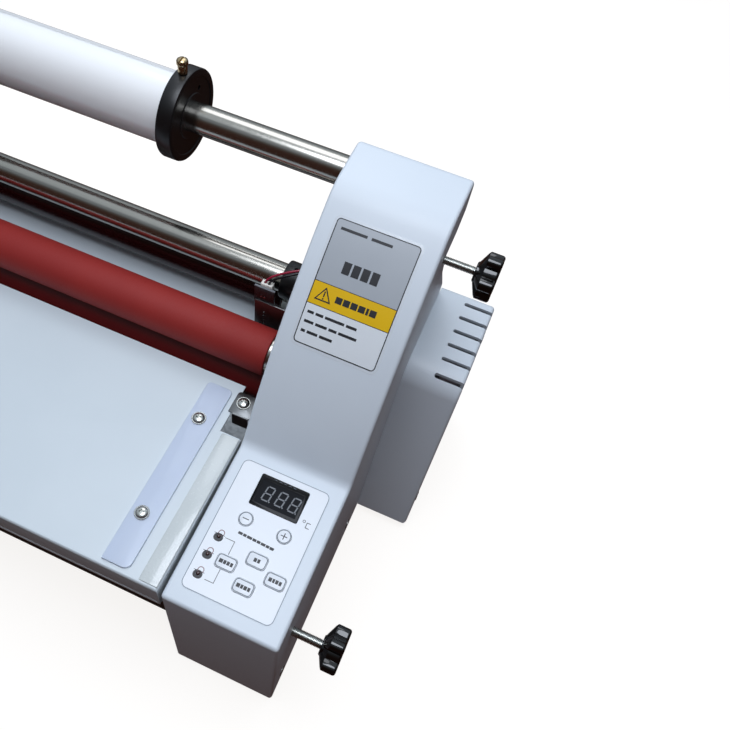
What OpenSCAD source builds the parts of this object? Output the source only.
// Roll laminator with heated rollers, film shafts, feed tray and two plastic side housings.
// X runs along the rollers, to the operator's right. Y runs from the operator to the exit. Z is up.
// The origin is on the floor, under the middle of the whole machine.

/* [Machine] */
// Clear width between the two side housings
inner_w = 404; // [380:1:430]
// Width of each side housing
housing_w = 95; // [90:1:110]
// Width of the motor cover beyond the right housing
cover_w = 52; // [48:1:60]
// Depth from the front face to the back of the motor cover
depth = 360; // [358:1:362]
// Height of the rubber feet
foot_h = 12; // [8:1:20]
// Wall thickness of the plastic housings
wall = 3; // [2.5:0.5:3.5]
// Thickness of the steel side frames
frame_t = 3; // [2:0.5:4]

/* [Housing outline] */
// Height of the front face
front_h = 172.4; // [170:0.2:175]
// Depth of the control panel, front edge to fold
panel_d = 134.2; // [130:0.2:138]
// Height of the fold between control panel and arm
fold_h = 182.7; // [181:0.1:185]
// Radius of the arm's long curve
arm_r = 472; // [460:1:500]
// Slope of the arm at the fold
arm_a0 = 58; // [56:1:59]
// Slope of the arm where the top begins
arm_a1 = 33; // [31:1:35]
// Slope of the arm's top
top_a = 2; // [0:1:6]

/* [Rollers] */
// Distance from the front face to the heated rollers
roller_y = 210.7; // [209:0.1:212]
// Height of the nip above the housings' underside
nip_z = 181; // [180:0.1:182]
// Outer radius of the heated rollers
roller_r = 20.1; // [19:0.1:20.1]
// Radius of the roller journals
journal_r = 8; // [7:0.5:8]
// Outer radius of the rear roller
rear_r = 17; // [15:0.5:17]
// Thickness of the silicone on every roller
rubber_t = 2.6; // [2:0.1:3]

/* [Gears] */
// Gear module
gear_m = 1.5; // [1.5:0.1:1.5]
// Teeth on each roller gear
gear_n = 27; // [27:1:27]
// Teeth on the motor pinion
pinion_n = 18; // [18:1:18]
// Face width of the gears
gear_w = 9; // [6:1:10]

/* [Film shafts] */
// Radius of the film shafts and of the rear tube
shaft_r = 12.5; // [12:0.1:12.5]
// Radius of the film flanges
flange_r = 38; // [34:0.5:40]
// Thickness of the film flanges
flange_t = 13.5; // [10:0.5:14]
// Radius of the film roll
film_r = 29.6; // [20:0.1:34]
// Width of the film roll
film_w = 206; // [150:1:206]

/* [Tray] */
// Depth of the feed tray
tray_d = 184.5; // [180:0.5:185]
// Height of the tray's top
tray_z = 178.2; // [177:0.1:179]
// Gap between the tray and each housing
tray_gap = 2.5; // [2:0.1:3]
// Sheet thickness of the tray
sheet_t = 1.5; // [1:0.1:2]

/* [Knobs] */
// Radius of the upper stud
upper_stud_r = 3.5; // [3:0.5:4]
// Radius of the lower stud
lower_stud_r = 4; // [3:0.5:4]
// Radius of the star knobs
knob_r = 21; // [18:0.5:22]

/* [Hidden] */
$fn = 64;
e = 0.05;            // running clearance on a radius
over = 1;            // how far a cutter runs past a face

// Positions along X
span = inner_w + 2 * housing_w + cover_w;
left_in = -span / 2 + housing_w;
right_in = left_in + inner_w;
right_out = right_in + housing_w;
mid_x = left_in + inner_w / 2;

// Axes as [distance from the front, height above the housings' underside]
gear_pitch_r = gear_m * gear_n / 2;
pinion_pitch_r = gear_m * pinion_n / 2;
pinion_dir = 90 - 9 * 360 / gear_n;
upper_axis = [roller_y, nip_z + gear_pitch_r];
lower_axis = [roller_y, nip_z - gear_pitch_r];
pinion_axis = lower_axis + (gear_pitch_r + pinion_pitch_r) * [cos(pinion_dir), sin(pinion_dir)];
motor_axis = [286, 118];
rear_axis = [277, nip_z + rear_r + 0.3];
tube_axis = [265.4, 232.8];
film_axis = [323, 314.5];
lower_film_axis = [66, 110];
upper_stud_axis = [290, 295];
lower_stud_axis = [31.2, 123];

// Middle of the whole depth, which ends at the back of the film flanges
mid_y = (film_axis[0] + flange_r) / 2;

// Film flanges along X
film_x1 = right_in - 152;
film_x0 = film_x1 - film_w;
lower_flange_x = [left_in + 40, right_in - 54];

// Housing outline
arm_c = [panel_d + arm_r * sin(arm_a0), fold_h - arm_r * cos(arm_a0)];
arm_end = arm_c + arm_r * [-sin(arm_a1), cos(arm_a1)];
bend_r = 42;
bend_c = arm_end + bend_r * [sin(arm_a1), -cos(arm_a1)];
bend_end = bend_c + bend_r * [-sin(top_a), cos(top_a)];
head_back = 342;
corner_r = 9;
back_y = 352;
panel_a = atan((fold_h - front_h) / panel_d);

// Control panel, in the panel's own plane: X from the housing's inner face, Y up the slope
overlay_pos = [8.5, 13];
overlay_size = [75, 111];
overlay_t = 0.5;
window_pos = [27, 91];
window_size = [41, 27];
key_size = [16, 11];
key_round_r = 5.7;
key_gap = 0.4;
key_rise = 0.7;
key_depth = 8;
pos_minus = [31.2, 78.6];
pos_plus = [63.6, 78.2];
pos_mode = [32.7, 42];
pos_up = [53, 53];
pos_down = [52.4, 31];
pos_stop = [71.9, 44.5];
lamp_pos = [[18.5, 58], [17, 42.5], [17.3, 26.7]];
lamp_r = 1.6;

// Moves from "front and underside of the housings" to the part's own origin
module machine() translate([0, -mid_y, foot_h]) children();
// An outline in the YZ plane pushed out along +X
module side(x, w) translate([x, 0, 0]) rotate([90, 0, 90]) linear_extrude(w) children();
// A round bar along X with its axis at a = [y, z]
module bar(x, w, a, r) translate([x, a[0], a[1]]) rotate([0, 90, 0]) cylinder(h = w, r = r);
// A tube along X
module tube(x, w, a, r_out, r_in) difference() {
  bar(x, w, a, r_out);
  bar(x - over, w + 2 * over, a, r_in);
}
// Mirrors a shape about the middle of the roller gap
module both_sides() {
  children();
  translate([2 * mid_x, 0, 0]) mirror([1, 0, 0]) children();
}
// The control panel's own plane, with its origin at the panel's front left corner
module on_panel() translate([right_in, 0, front_h]) rotate([panel_a, 0, 0]) children();

function arc(c, r, a0, a1, n) = [for (i = [0:n]) let(a = a0 + (a1 - a0) * i / n) c + r * [-sin(a), cos(a)]];

// Side view of a housing, drawn t inside its outer surface; the underside is always open
function outline(t) = concat(
  [[t, t > 0 ? -over : 0], [t, front_h - t], [panel_d + t * 0.6, fold_h - t]],
  arc(arm_c, arm_r - t, arm_a0 - 0.4, arm_a1, 14),
  arc(bend_c, bend_r - t, arm_a1, top_a, 4),
  arc([head_back - corner_r, bend_end[1] + (head_back - corner_r - bend_end[0]) * tan(top_a) - corner_r],
    corner_r - t, 0, -90, 5),
  [[head_back - t, 303 + t], [324 - t * 0.5, 291 + t], [303 - t, 288 + t * 0.4]],
  [[316 - t, 255], [back_y - t, 200], [back_y - t, t > 0 ? -over : 0]]);

// Window, keys and lamps, cut down through the panel's wall
module panel_cuts(z, h) on_panel() translate([0, 0, z]) {
  translate([window_pos[0], window_pos[1], 0]) cube([window_size[0], window_size[1], h]);
  for (p = [pos_minus, pos_plus]) translate([p[0], p[1], 0]) cylinder(h = h, r = key_round_r + key_gap);
  for (p = [pos_mode, pos_up, pos_down, pos_stop])
    translate([p[0] - key_size[0] / 2 - key_gap, p[1] - key_size[1] / 2 - key_gap, 0])
      cube([key_size[0] + 2 * key_gap, key_size[1] + 2 * key_gap, h]);
  for (p = lamp_pos) translate([p[0], p[1], 0]) cylinder(h = h, r = lamp_r);
}

// Screws through the housings' outer walls and the motor cover, as [y, z]
left_screws = [[20, 30], [170, 30], [320, 30]];
right_screws = [[20, 30], [170, 30]];
motor_screws = [[232, 20], [345, 20], [345, 150]];
module screw_holes(x, spots) for (p = spots) bar(x - wall - over, wall + 2 * over, p, screw_r + e);

inlet_pos = [38, 52];
inlet_size = [28, 48];
rocker_size = [19, 13];
rocker_z = 14;

module right_housing() color("#c4d2e2") machine() difference() {
  side(right_in, housing_w) polygon(outline(0));
  side(right_in - over, housing_w - wall + over) polygon(outline(wall));
  panel_cuts(-wall * 2, wall * 4);
  bar(right_out - wall - over, wall + 2 * over, upper_stud_axis, upper_stud_r + 0.6);
  bar(right_out - wall - over, wall + 2 * over, lower_stud_axis, lower_stud_r + 0.6);
  side(right_out - wall - over, wall + 2 * over) motor_hole();
  screw_holes(right_out, right_screws);
  translate([right_in + inlet_pos[0], back_y - wall - over, inlet_pos[1]])
    cube([inlet_size[0], wall + 2 * over, inlet_size[1]]);
}

module left_housing() color("#c4d2e2") machine() difference() {
  side(left_in - housing_w, housing_w) polygon(outline(0));
  side(left_in - housing_w + wall, housing_w - wall + over) polygon(outline(wall));
  screw_holes(left_in - housing_w + wall, left_screws);
}

// Way for the motor through the housing's outer wall
module motor_hole() translate(motor_axis) circle(r = 30);

frame_gap = 0.4;
module frame_plate(x) side(x, frame_t) difference() {
  polygon(concat([for (p = outline(wall + frame_gap)) [p[0], max(p[1], 3)]]));
  for (a = [upper_axis, lower_axis, rear_axis]) translate(a) circle(r = bearing_r);
  for (a = [film_axis, lower_film_axis]) translate(a) circle(r = shaft_r + e);
}

frame_x = 1;
module right_side_frame() color("#1f1d1d") machine() frame_plate(right_in + frame_x);

module left_side_frame() color("#1f1d1d") machine() frame_plate(left_in - frame_x - frame_t);

// Side view of the motor cover, drawn t inside its outer surface
cover_front = 207;
cover_lean = 16;
cover_top = 186;
cover_bend_r = 26;
cover_back = depth;
cover_bend_c = [cover_front + (cover_top - cover_bend_r) * tan(cover_lean) + cover_bend_r / cos(cover_lean),
  cover_top - cover_bend_r];
function cover_outline(t) = concat(
  [[cover_front + t / cos(cover_lean), t > 0 ? -over : 0]],
  arc(cover_bend_c, cover_bend_r - t, 90 - cover_lean, 0, 8),
  [[cover_back - t - 6, cover_top - t], [cover_back - t, cover_top - t - 6],
    [cover_back - t, t > 0 ? -over : 0]]);

slot_count = 6;
slot_pitch = 16.4;
slot_w = 3.8;
slot_len = 27;
slot_deep = 24;
slot_back = 346;
module motor_cover() color("#bccbd9") machine() difference() {
  side(right_out, cover_w) polygon(cover_outline(0));
  side(right_out - over, cover_w - wall + over) polygon(cover_outline(wall));
  screw_holes(right_out + cover_w, motor_screws);
  for (i = [0:slot_count - 1])
    translate([right_out + cover_w - slot_len, slot_back - i * slot_pitch, cover_top - slot_deep])
      cube([slot_len + over, slot_w, slot_deep + over]);
}

pan_t = 3;
pan_front = 46;
module base_pan() color("#55585a") machine() {
  translate([left_in, pan_front, 0]) cube([inner_w, back_y - pan_front - wall - 1, pan_t]);
  for (x = [left_in - housing_w + wall + 0.5, right_in - 0.5])
    translate([x, wall + 1, 0]) cube([housing_w - wall, back_y - 2 * wall - 2, pan_t]);
}

flange_h = 31;
// Channel under the tray, open to the back
brace_d = 21;
brace_t = 2;
brace_y = wall;
brace_z = 125;
brace_top = tray_z - flange_h;
module front_brace() color("#1d1b1b") machine() difference() {
  translate([left_in - frame_x, brace_y, brace_z])
    cube([inner_w + 2 * frame_x, brace_d, brace_top - brace_z]);
  translate([left_in - 2 * over, brace_y + brace_t, brace_z + brace_t])
    cube([inner_w + 4 * over, brace_d, brace_top - brace_z - 2 * brace_t]);
}

notch = [19, 47];
guide_w = 23;
guide_d = 170;
guide_t = 2;
guide_x = 28.4;
guide_y = 5.4;
screw_y = [48.4, 139.7];
screw_x = 42;
bracket_screw = [15.5, 168.5];
screw_r = 3;
bracket_t = 1.5;

module feed_tray() color("#c1cfda") machine() difference() {
  translate([left_in + tray_gap, 0.5, tray_z - flange_h]) cube([inner_w - 2 * tray_gap, tray_d, flange_h]);
  translate([left_in + tray_gap + sheet_t, 0.5 + sheet_t, tray_z - flange_h - over])
    cube([inner_w - 2 * (tray_gap + sheet_t), tray_d - sheet_t + over, flange_h - sheet_t + over]);
  both_sides()
    translate([right_in - tray_gap - notch[0], tray_d + 0.5 - notch[1], tray_z - flange_h - over])
      cube([notch[0] + over, notch[1] + over, flange_h + 2 * over]);
  both_sides() translate([right_in - tray_gap - sheet_t - over, 60, tray_z - flange_h - over])
    cube([2 * over + sheet_t, tray_d, 12]);
  both_sides() for (y = screw_y) translate([right_in - screw_x, y, tray_z - sheet_t - over])
    cylinder(h = sheet_t + 2 * over, r = screw_r + e);
}

module guide() difference() {
  translate([right_in - guide_x - guide_w, guide_y, tray_z]) cube([guide_w, guide_d, guide_t]);
  for (y = screw_y) translate([right_in - screw_x, y, tray_z - over])
    cylinder(h = guide_t + 2 * over, r = screw_r + e);
}
module right_guide() color("#b0c0da") machine() guide();
module left_guide() color("#b0c0da") machine() translate([2 * mid_x, 0, 0]) mirror([1, 0, 0]) guide();

// Pan head screw with a cross recess, standing on the XY plane
module pan_screw(shank) difference() {
  union() {
    cylinder(h = 1.6, r = 6);
    translate([0, 0, 1.6]) cylinder(h = 1.2, r1 = 6, r2 = 4.6);
    translate([0, 0, 2.8]) cylinder(h = 0.5, r1 = 4.6, r2 = 3.2);
    translate([0, 0, -shank]) cylinder(h = shank + 0.2, r = screw_r);
  }
  for (a = [0, 90]) rotate(a) translate([-2.6, -0.5, 1.3]) cube([5.2, 1, 3]);
}

module tray_screws() color("#c8ccc8") machine() both_sides() {
  for (y = screw_y) translate([right_in - screw_x, y, tray_z + guide_t]) pan_screw(8);
  translate([right_in - bracket_screw[0], bracket_screw[1], tray_z + bracket_t]) pan_screw(6);
}

// Bent steel clip in the tray's rear notch, fixed to the side frame
module tray_bracket() difference() {
  union() {
    translate([right_in - 24, 157, tray_z]) cube([20, 21, bracket_t]);
    translate([right_in - 20, 155.5, tray_z - 14]) cube([14, bracket_t, 14 + bracket_t]);
    translate([right_in - 4.01, 160, tray_z]) cube([4.01 + frame_x, 14, bracket_t]);
  }
  translate([right_in - bracket_screw[0], bracket_screw[1], tray_z - over])
    cylinder(h = 4 + over, r = screw_r + e);
}
module tray_brackets() color("#a8aaa8") machine() both_sides() tray_bracket();

// Bent plate that carries the laminate from the heated rollers to the rear roller
plate_y = [229, 296];
plate_z = 174.5;
plate_legs = [234, 294.5];
leg_h = 24.6;
module exit_plate() color("#aeb4ba") machine() {
  translate([left_in - frame_x, plate_y[0], plate_z])
    cube([inner_w + 2 * frame_x, plate_y[1] - plate_y[0], sheet_t]);
  for (y = plate_legs)
    translate([left_in - frame_x, y, plate_z + 0.1 - leg_h]) cube([inner_w + 2 * frame_x, sheet_t, leg_h]);
}

bearing_r = 13;
bearing_w = 9;
module roller_bearings() color("#2b2b2c") machine() both_sides() for (a = [upper_axis, lower_axis, rear_axis])
  difference() {
    union() {
      bar(right_in + frame_x, bearing_w, a, bearing_r);
      bar(right_in + frame_x - 1.5, 1.5, a, bearing_r + 2);
    }
    bar(right_in - 5, bearing_w + 10, a, journal_r + e);
  }

// Roller tube with a hollow journal at each end; half_l is half the length over the journals
module roller_core(a, r, face_w, bore) difference() {
  union() {
    bar(mid_x - face_w / 2, face_w, a, r);
    bar(left_in - 26, inner_w + 52, a, journal_r);
  }
  if (bore > 0) bar(left_in - 30, inner_w + 60, a, bore);
}
face_w = inner_w - 15;
rear_w = inner_w - 52;
core_more = 7;
heater_bore_r = 5.5;
module upper_roller_core() color("#b9bcbc") machine()
  roller_core(upper_axis, roller_r - rubber_t, face_w + core_more, heater_bore_r);
module lower_roller_core() color("#b9bcbc") machine()
  roller_core(lower_axis, roller_r - rubber_t, face_w + core_more, 0);
module rear_roller_core() color("#9a9d9e") machine()
  roller_core(rear_axis, rear_r - rubber_t, rear_w + 2, 0);
module upper_roller_sleeve() color("#8f2f30") machine()
  tube(mid_x - face_w / 2, face_w, upper_axis, roller_r, roller_r - rubber_t);
module lower_roller_sleeve() color("#7a2628") machine()
  tube(mid_x - face_w / 2, face_w, lower_axis, roller_r, roller_r - rubber_t);
module rear_roller_sleeve() color("#5a1a1e") machine()
  tube(mid_x - rear_w / 2, rear_w, rear_axis, rear_r, rear_r - rubber_t);

module heater_rod() color("#e6e2d8") machine() {
  bar(left_in - 40, inner_w + 80, upper_axis, 4);
  both_sides() difference() {
    bar(right_in + 33, 6, upper_axis, 9);
    bar(right_in + 32, 8, upper_axis, 4);
  }
  both_sides() translate([right_in + frame_x + frame_t, upper_axis[0] - 5, upper_axis[1] + 24])
    cube([35, 10, 2]);
  both_sides() translate([right_in + 33, upper_axis[0] - 5, upper_axis[1] + 7]) cube([6, 10, 18]);
}

// Involute spur gear outline with a tooth on the +X axis turned to angle phase
function inv(a) = tan(a) * 180 / PI - a;
function flank(rb, r, half) = let(a = acos(min(1, rb / r)), t = half - inv(a)) r * [cos(t), sin(t)];
function tooth(n, backlash) = let(
    rp = gear_m * n / 2, rb = rp * cos(20), root = rp - 1.25 * gear_m, tip = rp + gear_m * 0.92,
    half = 90 / n - backlash / rp * 90 / PI + inv(20), lo = max(rb, root))
  concat([root * [cos(-half * 1.02), sin(-half * 1.02)]],
    [for (i = [0:5]) let(p = flank(rb, lo + (tip - lo) * i / 5, half)) [p[0], -p[1]]],
    [for (i = [5:-1:0]) flank(rb, lo + (tip - lo) * i / 5, half)],
    [root * [cos(half * 1.02), sin(half * 1.02)]]);
module gear_outline(n, phase) polygon([for (i = [0:n - 1], p = tooth(n, 0.16))
  let(a = phase + 360 * i / n) [p[0] * cos(a) - p[1] * sin(a), p[0] * sin(a) + p[1] * cos(a)]]);

gear_x = right_in + 14;
module roller_gear(a) difference() {
  side(gear_x, gear_w) translate(a) gear_outline(gear_n, 90);
  bar(gear_x - over, gear_w + 2 * over, a, journal_r);
}
module upper_roller_gear() color("#d8d4c4") machine() roller_gear(upper_axis);
module lower_roller_gear() color("#d8d4c4") machine() roller_gear(lower_axis);
module motor_pinion() color("#c0a050") machine() {
  side(gear_x, gear_w) translate(pinion_axis) gear_outline(pinion_n, 0);
  bar(gear_x + gear_w - 0.01, 14, pinion_axis, 4);
}

box_x = gear_x + gear_w + 3;
motor_l = 72;
module gearmotor() color("#8d9194") machine() difference() {
  union() {
    bar(box_x, 22, pinion_axis, 19);
    bar(box_x, 22, motor_axis, 31);
    side(box_x, 22) polygon([pinion_axis + [-4, -19], motor_axis + [-12, -28], motor_axis + [8, 28],
      pinion_axis + [6, 18]]);
    bar(box_x + 22, motor_l, motor_axis, 28);
    bar(box_x + 22 + motor_l, 4, motor_axis, 20);
    for (p = [[230, 112], [268, 158]])
      bar(right_in + frame_x + frame_t, box_x - right_in - frame_x - frame_t + 1, p, 3.5);
  }
  bar(box_x - over, 13, pinion_axis, 4 + e);
}

board_drop = 12;
post_gap = 0.25;
module control_board() color("#1e5a3a") machine() on_panel() {
  translate([8, 14, -wall - board_drop]) cube([76, 104, 1.6]);
  for (x = [11, 81], y = [17, 115]) translate([x, y, -wall - board_drop + 1.5])
    cylinder(h = board_drop - 1.5 - post_gap, r = 2.5);
  translate([26, 89, -wall - board_drop + 1.5]) cube([43, 31, 6]);
  for (p = [pos_minus, pos_plus, pos_mode, pos_up, pos_down, pos_stop])
    translate([p[0] - 3, p[1] - 3, -wall - board_drop + 1.5]) cube([6, 6, 3.5]);
}

module power_inlet() color("#161616") machine() difference() {
  union() {
    translate([right_in + inlet_pos[0] + 0.2, back_y - 24, inlet_pos[1] + 0.2])
      cube([inlet_size[0] - 0.4, 24, inlet_size[1] - 0.4]);
    translate([right_in + inlet_pos[0] - 3, back_y, inlet_pos[1] - 3])
      cube([inlet_size[0] + 6, 2, inlet_size[1] + 6]);
  }
  translate([right_in + inlet_pos[0] + 3, back_y - 15, inlet_pos[1] + 26]) cube([22, 30, 17]);
  translate([right_in + inlet_pos[0] + inlet_size[0] / 2 - rocker_size[0] / 2 - key_gap, back_y - 16,
    inlet_pos[1] + rocker_z - rocker_size[1] / 2 - key_gap])
    cube([rocker_size[0] + 2 * key_gap, 30, rocker_size[1] + 2 * key_gap]);
}

rocker_tilt = 8;
module power_rocker() color("#5b1512") machine()
  translate([right_in + inlet_pos[0] + (inlet_size[0] - rocker_size[0]) / 2, back_y - 1.5,
    inlet_pos[1] + rocker_z]) rotate([rocker_tilt, 0, 0]) {
      rotate([0, 90, 0]) cylinder(h = rocker_size[0], r = 5.5);
      translate([0, 0, 0.3 - rocker_size[1] / 2]) cube([rocker_size[0], 3, rocker_size[1] - 0.6]);
    }

sensor_y = 237;
sensor_x = right_in - 39;
module sensor_bracket() color("#9fa3a6") machine() {
  translate([sensor_x, sensor_y, 196]) cube([39 + frame_x, 1, 33]);
  translate([right_in - 5, sensor_y, 196]) cube([5 + frame_x, 1.2, 33]);
}
module sensor_board() color("#15181a") machine()
  translate([sensor_x - 1, sensor_y + 1, 224]) cube([18, 1.6, 22]);
connector_pos = [3.8, 2.6, 241];
connector_size = [10, 5.4, 8];
way_x = [6.8, 10.2];
way_y = 5.3;
module sensor_connector() color("#ece8e4") machine() difference() {
  translate([sensor_x, sensor_y, 0] + connector_pos) cube(connector_size);
  for (x = way_x) translate([sensor_x + x, sensor_y + way_y, 246]) cylinder(h = 6, r = 1.4);
}

// A round lead swept through the points p, with eight sides
function unit(v) = v / norm(v);
module swept(p, r, sides = 8) {
  n = len(p);
  dir = [for (i = [0:n - 1]) unit(p[min(i + 1, n - 1)] - p[max(i - 1, 0)])];
  ring = [for (i = [0:n - 1], k = [0:sides - 1])
    let(u = unit(cross(dir[i], [0.2, 1, 0])), w = cross(dir[i], u), a = 360 * k / sides)
    p[i] + r * (cos(a) * u + sin(a) * w)];
  walls = [for (i = [0:n - 2], k = [0:sides - 1]) let(j = (k + 1) % sides)
    [i * sides + k, (i + 1) * sides + k, (i + 1) * sides + j, i * sides + j]];
  ends = [[for (k = [0:sides - 1]) k], [for (k = [sides - 1:-1:0]) (n - 1) * sides + k]];
  polyhedron(ring, concat(walls, ends));
}

// Two leads from the connector, up and over the tube hub to the housing
lead_r = 1.05;
lead_h = [246.1, 249.5, 252.5, 255.8, 258.6, 260.8, 262.2, 263.2];
lead_run = [0, 0.1, 1.5, 5, 11, 18, 26, 34.5];
lead_end = right_in + 0.5;
lead_back = 0.55;
lead_apart = 2.7;
module lead(x, dy) swept([for (i = [0:7]) [x + lead_run[i] * (lead_end - x) / lead_run[7],
  sensor_y + way_y + lead_run[i] * lead_back + dy * min(1, max(0, i - 1) / 3), lead_h[i]]], lead_r);
module sensor_wires() color("#7a1530") machine() {
  lead(sensor_x + way_x[0], 0);
  lead(sensor_x + way_x[1], -lead_apart);
}

hub_r = 16.5;
hub_w = 24;
tube_in = 6;
module tube_hubs() color("#141414") machine() both_sides() difference() {
  bar(right_in - hub_w, hub_w + frame_x, tube_axis, hub_r);
  bar(right_in - hub_w - over, hub_w + over - tube_in + 1, tube_axis, shaft_r + e);
}
module rear_tube() color("#b8bcbc") machine()
  tube(left_in + tube_in, inner_w - 2 * tube_in, tube_axis, shaft_r, shaft_r - 2);

stud_in = 60;
knob_x = 25;
block_w = 20;
block_l = 14;
module tension_blocks() color("#6f7376") machine()
  for (s = [[upper_stud_axis, upper_stud_r], [lower_stud_axis, lower_stud_r]]) difference() {
    translate([right_out - wall - block_l, s[0][0] - block_w / 2, s[0][1] - block_w / 2])
      cube([block_l, block_w, block_w]);
    bar(right_out - wall - block_l - over, block_l + 2 * over, s[0], s[1] + e);
  }
module upper_stud() color("#b4b8b6") machine()
  bar(right_out - stud_in, stud_in + knob_x + 2, upper_stud_axis, upper_stud_r);
module lower_stud() color("#b4b8b6") machine()
  bar(right_out - stud_in, stud_in + knob_x + 2, lower_stud_axis, lower_stud_r);

knob_t = 13;
lobes = 5;
lobe_r = 5.5;
// Star knob: a boss on the stud's side, a disc and round lobes that stand a little proud of it
module star_knob(a, r) difference() {
  translate([right_out + knob_x, a[0], a[1]]) rotate([90, 0, 90]) {
    cylinder(h = 7, r = 9);
    translate([0, 0, 6]) cylinder(h = knob_t - 2, r = 14.2);
    for (i = [0:lobes - 1]) rotate(360 * (i + 0.25) / lobes)
      translate([knob_r - lobe_r, 0, 5]) cylinder(h = knob_t, r = lobe_r);
  }
  bar(right_out + knob_x - over, 3 + over, a, r);
}
module upper_knob() color("#050505") machine() star_knob(upper_stud_axis, upper_stud_r);
module lower_knob() color("#050505") machine() star_knob(lower_stud_axis, lower_stud_r);

shaft_end = 18;
module upper_film_shaft() color("#b8bcbc") machine()
  tube(left_in - shaft_end, inner_w + 2 * shaft_end, film_axis, shaft_r, shaft_r - 2);
module lower_film_shaft() color("#b8bcbc") machine()
  tube(left_in - shaft_end, inner_w + 2 * shaft_end, lower_film_axis, shaft_r, shaft_r - 2);

thumb_a = 88;
thumb_neck = [3.9, 7.5];
thumb_head = [4.8, 5];
core_r = 22;
slide_gap = 0.3;
// Film flange: a disc on the shaft side and a short hub that enters the film core
module film_flange(x, a, hub_x) difference() {
  union() {
    bar(x, flange_t, a, flange_r);
    bar(hub_x, 16, a, core_r - 0.2);
  }
  bar(x - 20, flange_t + 40, a, shaft_r + e);
  translate([x + flange_t / 2, a[0], a[1]]) rotate([-90 + thumb_a, 0, 0]) translate([0, 0, shaft_r])
    cylinder(h = flange_r, r = 2.5 + e);
}
module right_film_flange() color("#0e0e0f") machine()
  film_flange(film_x1 + slide_gap, film_axis, film_x1 - 15);
module left_film_flange() color("#0e0e0f") machine() film_flange(film_x0 - flange_t, film_axis, film_x0 - 1);
module film_roll() color("#eef3f7") machine() tube(film_x0, film_w, film_axis, film_r, core_r);
module thumb_screw(x) translate([x + flange_t / 2, film_axis[0], film_axis[1]]) rotate([-90 + thumb_a, 0, 0])
difference() {
  union() {
    translate([0, 0, shaft_r + 0.1]) cylinder(h = flange_r - shaft_r + 2, r = 2.5);
    translate([0, 0, flange_r + slide_gap]) cylinder(h = thumb_neck[1], r = thumb_neck[0]);
    translate([0, 0, flange_r + slide_gap + thumb_neck[1]]) cylinder(h = thumb_head[1], r = thumb_head[0]);
  }
  translate([-0.5, -6, flange_r + thumb_neck[1] + thumb_head[1] - 1.7]) cube([1, 12, 3]);
}
module right_thumb_screw() color("#a08a60") machine() thumb_screw(film_x1 + slide_gap);
module left_thumb_screw() color("#a08a60") machine() thumb_screw(film_x0 - flange_t);
module lower_film_flanges() color("#0e0e0f") machine() for (x = lower_flange_x)
  tube(x, flange_t, lower_film_axis, flange_r, shaft_r);

module panel_overlay() color("#c8d5e8") machine() difference() {
  on_panel() translate([overlay_pos[0], overlay_pos[1], 0])
    cube([overlay_size[0], overlay_size[1], overlay_t]);
  panel_cuts(-over, 2 * over + overlay_t);
}
module display_window() color("#282d33") machine() on_panel()
  translate([window_pos[0] + 0.1, window_pos[1] + 0.1, -wall])
    cube([window_size[0] - 0.2, window_size[1] - 0.2, wall + 0.6]);
module indicator_lamps() color("#403838") machine() on_panel() for (p = lamp_pos)
  translate([p[0], p[1], -wall - 3]) cylinder(h = wall + 4, r = lamp_r - 0.05);

module round_key(p) color("#c8d5e8") machine() on_panel() translate([p[0], p[1], -key_depth])
  cylinder(h = key_depth + overlay_t + key_rise, r = key_round_r);
module flat_key(p) color("#c8d5e8") machine() on_panel()
  translate([p[0] - key_size[0] / 2, p[1] - key_size[1] / 2, -key_depth])
    cube([key_size[0], key_size[1], key_depth + overlay_t + key_rise]);
module key_minus() round_key(pos_minus);
module key_plus() round_key(pos_plus);
module key_mode() flat_key(pos_mode);
module key_up() flat_key(pos_up);
module key_down() flat_key(pos_down);
module key_stop() flat_key(pos_stop);

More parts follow.
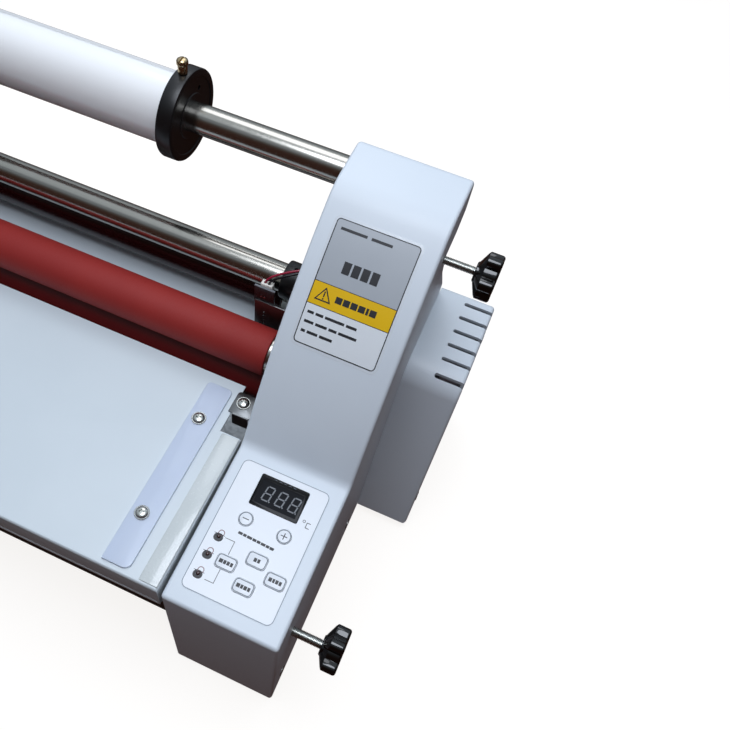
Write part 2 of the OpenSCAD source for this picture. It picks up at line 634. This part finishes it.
// Printed plate that follows the arm's curve
label_x = [12.6, 82.4];
label_a = [46.7, 33.9];
label_t = 0.4;
label_steps = 14;
label_gap = 0.04;
module side_label() color("#959fab") machine() side(right_in + label_x[0], label_x[1] - label_x[0])
  polygon(concat(arc(arm_c, arm_r + label_t, label_a[0], label_a[1], label_steps),
    arc(arm_c, arm_r + label_gap, label_a[1], label_a[0], label_steps)));

foot_in = 24;
module feet() color("#1a1a1a") translate([0, -mid_y, 0])
  for (x = [left_in - housing_w + foot_in, right_out - foot_in], y = [30, 322])
    translate([x, y, 0]) cylinder(h = foot_h, r = 12);

// Screw with a thin flat head
module low_screw(shank) difference() {
  union() {
    cylinder(h = 0.5, r = 5);
    translate([0, 0, 0.5]) cylinder(h = 0.4, r1 = 5, r2 = 4.2);
    translate([0, 0, -shank]) cylinder(h = shank + 0.2, r = screw_r);
  }
  for (a = [0, 90]) rotate(a) translate([-2.6, -0.5, 0.3]) cube([5.2, 1, 3]);
}
module cover_screws() color("#b9bcb9") machine() {
  for (p = left_screws) translate([left_in - housing_w, p[0], p[1]]) rotate([0, -90, 0]) low_screw(6);
  for (p = right_screws) translate([right_out, p[0], p[1]]) rotate([0, 90, 0]) low_screw(6);
  for (p = motor_screws) translate([right_out + cover_w, p[0], p[1]]) rotate([0, 90, 0]) low_screw(6);
}

right_housing();
left_housing();
right_side_frame();
left_side_frame();
motor_cover();
base_pan();
front_brace();
feed_tray();
right_guide();
left_guide();
tray_screws();
tray_brackets();
exit_plate();
roller_bearings();
heater_rod();
gearmotor();
control_board();
power_inlet();
power_rocker();
sensor_bracket();
sensor_board();
sensor_connector();
sensor_wires();
tube_hubs();
tension_blocks();
panel_overlay();
display_window();
indicator_lamps();
side_label();
feet();
cover_screws();
upper_roller_core();
upper_roller_sleeve();
upper_roller_gear();
lower_roller_core();
lower_roller_sleeve();
lower_roller_gear();
motor_pinion();
rear_roller_core();
rear_roller_sleeve();
rear_tube();
upper_film_shaft();
right_film_flange();
left_film_flange();
film_roll();
right_thumb_screw();
left_thumb_screw();
lower_film_shaft();
lower_film_flanges();
upper_stud();
upper_knob();
lower_stud();
lower_knob();
key_minus();
key_plus();
key_mode();
key_up();
key_down();
key_stop();
